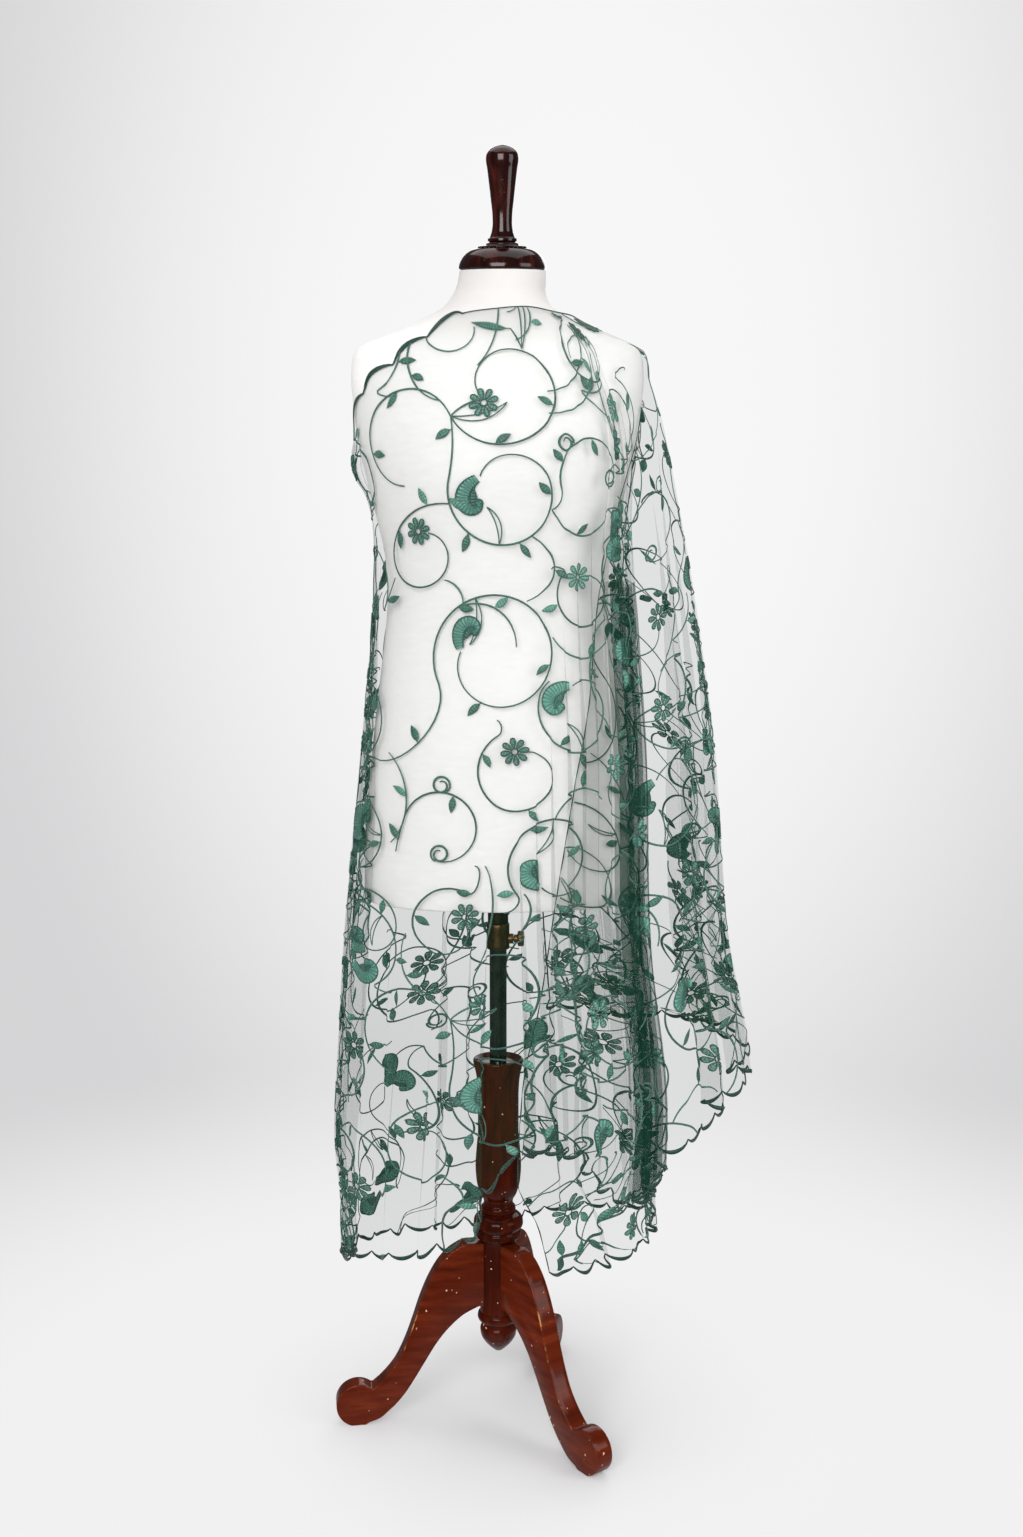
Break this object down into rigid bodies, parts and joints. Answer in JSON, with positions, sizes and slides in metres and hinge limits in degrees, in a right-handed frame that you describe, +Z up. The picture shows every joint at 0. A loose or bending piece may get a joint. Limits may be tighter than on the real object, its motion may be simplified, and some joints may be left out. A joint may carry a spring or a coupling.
{
  "type": "net dupatta on a limbless dress form with a tripod stand",
  "caption": "Embroidered net dupatta wound round a limbless dress form and falling in pleats from one shoulder, on a turned wooden tripod stand with a height pole.",
  "frame": {"origin": "bottom centre of the bounding box, on the floor", "axes": "+Z up along the pole; the front of the form faces -Y; +X is the viewer's right, the side of the covered shoulder"},
  "size_m": [0.5172, 0.3746, 1.5495],
  "materials": {
    "net": "sheer net, embroidered",
    "form_canvas": "matte woven cover",
    "dark_wood": "gloss varnish",
    "red_wood": "satin varnish, worn",
    "steel": "polished",
    "bronze": "aged",
    "dark_metal": "dull"
  },
  "bodies": {
    "stand": {"steel_pole": "steel", "column": "red_wood", "drop_finial": "red_wood", "leg_left": "red_wood", "leg_front": "red_wood", "leg_back": "red_wood"},
    "form": {"form_body": "form_canvas", "neck_cap": "dark_wood", "neck_handle": "dark_wood", "socket_tube": "dark_metal", "clamp_collar": "bronze", "inner_end": "net", "back_wrap": "net", "front_wrap": "net", "shoulder_fall": "net"},
    "clamp_screw": {"thumb_screw": "bronze"}
  },
  "joints": [
    {"name": "form_height", "type": "slide", "parent": "stand", "child": "form", "axis": [0, 0, 1], "range_m": [-0.08, 0.12]},
    {"name": "screw_turn", "type": "hinge", "parent": "form", "child": "clamp_screw", "pos_m": [-0.03396, -0.0088, 0.612], "axis": [1, 0, 0], "continuous": true}
  ]
}
